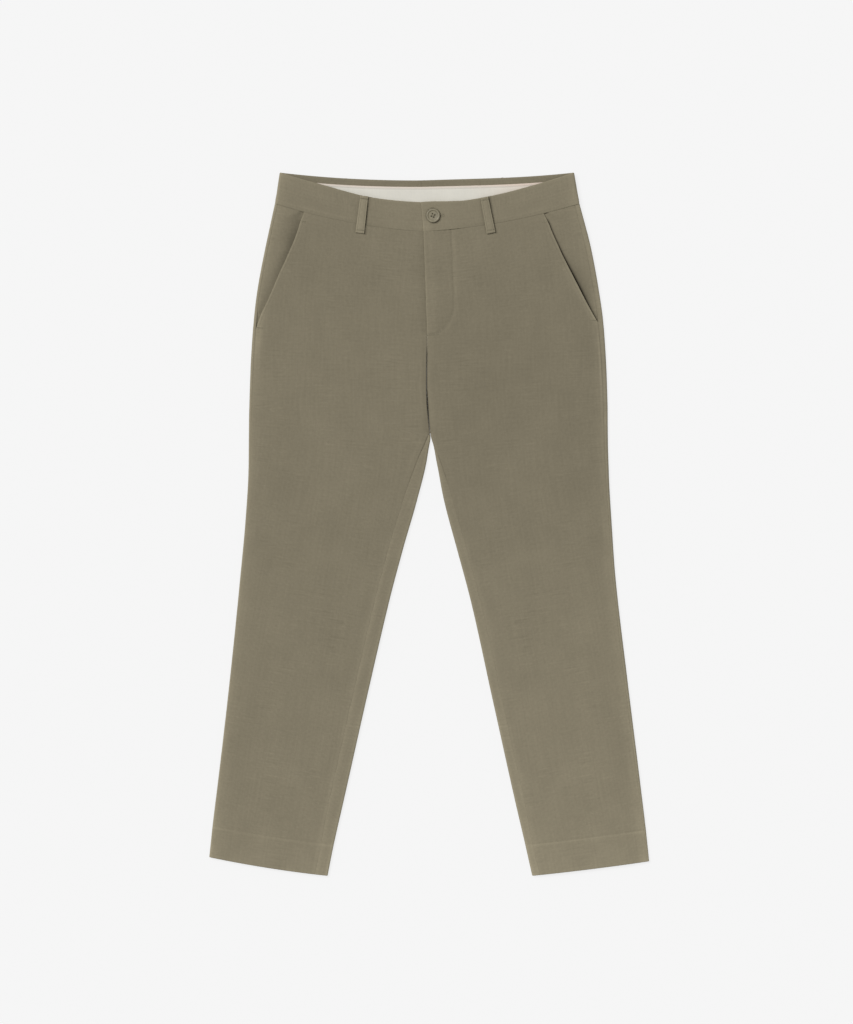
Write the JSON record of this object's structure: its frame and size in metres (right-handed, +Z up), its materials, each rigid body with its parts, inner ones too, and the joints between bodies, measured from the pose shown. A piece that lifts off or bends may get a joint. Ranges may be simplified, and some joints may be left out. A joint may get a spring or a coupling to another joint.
{
  "type": "trousers",
  "caption": "Slim corduroy trousers with a buttoned waistband, slant pockets, fly and belt loops, laid flat on their back.",
  "frame": {"origin": "centre of the bounding box's base, on the surface that the garment lies on", "axes": "+X towards the wearer's left leg, +Y from the hems to the waist, +Z up out of the front"},
  "size_m": [0.6163, 0.984, 0.015],
  "materials": {
    "corduroy": "fine-wale cotton corduroy, brushed and matt",
    "waistband_lining": "plain cream cotton",
    "button": "four-hole button dyed to match, satin"
  },
  "bodies": {
    "root": {"front_left": "corduroy", "front_right": "corduroy", "back_left": "corduroy", "back_right": "corduroy", "pocket_facing_left": "corduroy", "pocket_facing_right": "corduroy", "waistband_left": "corduroy", "waistband_right": "corduroy", "waistband_curtain": "waistband_lining", "belt_loop_front_left": "corduroy", "belt_loop_front_right": "corduroy", "belt_loop_back_left": "corduroy", "belt_loop_back_right": "corduroy", "belt_loop_back_centre": "corduroy", "waist_button": "button"}
  },
  "joints": []
}
